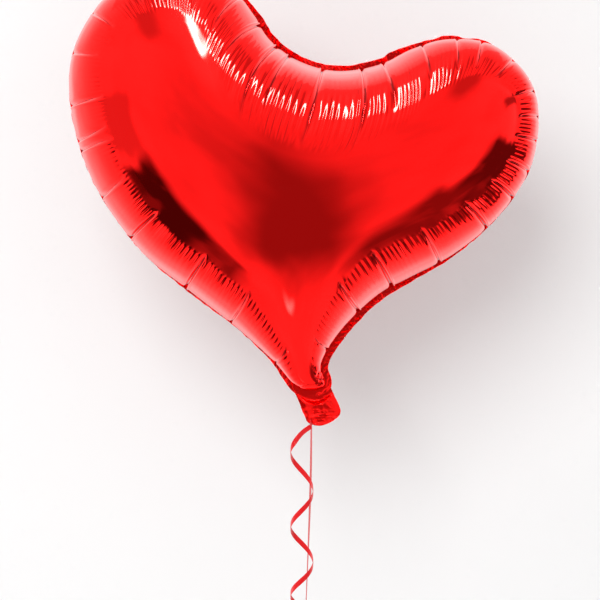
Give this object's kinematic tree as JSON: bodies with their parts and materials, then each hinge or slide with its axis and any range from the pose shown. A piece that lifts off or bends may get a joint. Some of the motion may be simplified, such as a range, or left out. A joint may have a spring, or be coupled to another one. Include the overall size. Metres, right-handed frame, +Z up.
{
  "type": "heart-shaped foil balloon",
  "caption": "Slanted heart balloon of two heat-sealed metallised film panels, with a flat filling tail, a straight tether ribbon and a curled ribbon.",
  "frame": {"origin": "centre of the ribbon loop that is tied through the tail, at the balloon's lowest corner", "axes": "+Z up from the tail to the lobes, +X to the right as seen from the front, so the front faces -Y"},
  "size_m": [0.489, 0.204, 0.723],
  "materials": {
    "red_foil": "mirror-bright metallised film, tinted red",
    "red_ribbon": "glossy embossed curling ribbon",
    "clear_film": "clear polyethylene film"
  },
  "bodies": {
    "balloon": {"front_panel": "red_foil", "back_panel": "red_foil", "seam_border": "red_foil", "valve_film_front": "clear_film", "valve_film_back": "clear_film"},
    "tail": {"tail_front": "red_foil", "tail_back": "red_foil"},
    "tie": {"tie_loop": "red_ribbon", "tie_knot": "red_ribbon"},
    "tether": {"tether_ribbon": "red_ribbon", "tether_end_knot": "red_ribbon", "hand_loop": "red_ribbon"},
    "curl": {"curled_ribbon": "red_ribbon"}
  },
  "joints": [
    {"name": "neck_bend", "type": "hinge", "parent": "balloon", "child": "tail", "pos_m": [0.004, 0, 0.0258], "axis": [1, 0, 0], "range_deg": [-45, 45]},
    {"name": "tie_swing", "type": "hinge", "parent": "tail", "child": "tie", "pos_m": [0, 0, 0], "axis": [1, 0, 0], "range_deg": [-20, 35]},
    {"name": "tether_swing", "type": "hinge", "parent": "tie", "child": "tether", "pos_m": [0, 0.0063, -0.0008], "axis": [0, 1, 0], "range_deg": [-40, 40]},
    {"name": "curl_swing", "type": "hinge", "parent": "tie", "child": "curl", "pos_m": [0, 0.0026, -0.0008], "axis": [0, 1, 0], "range_deg": [-40, 40]}
  ]
}
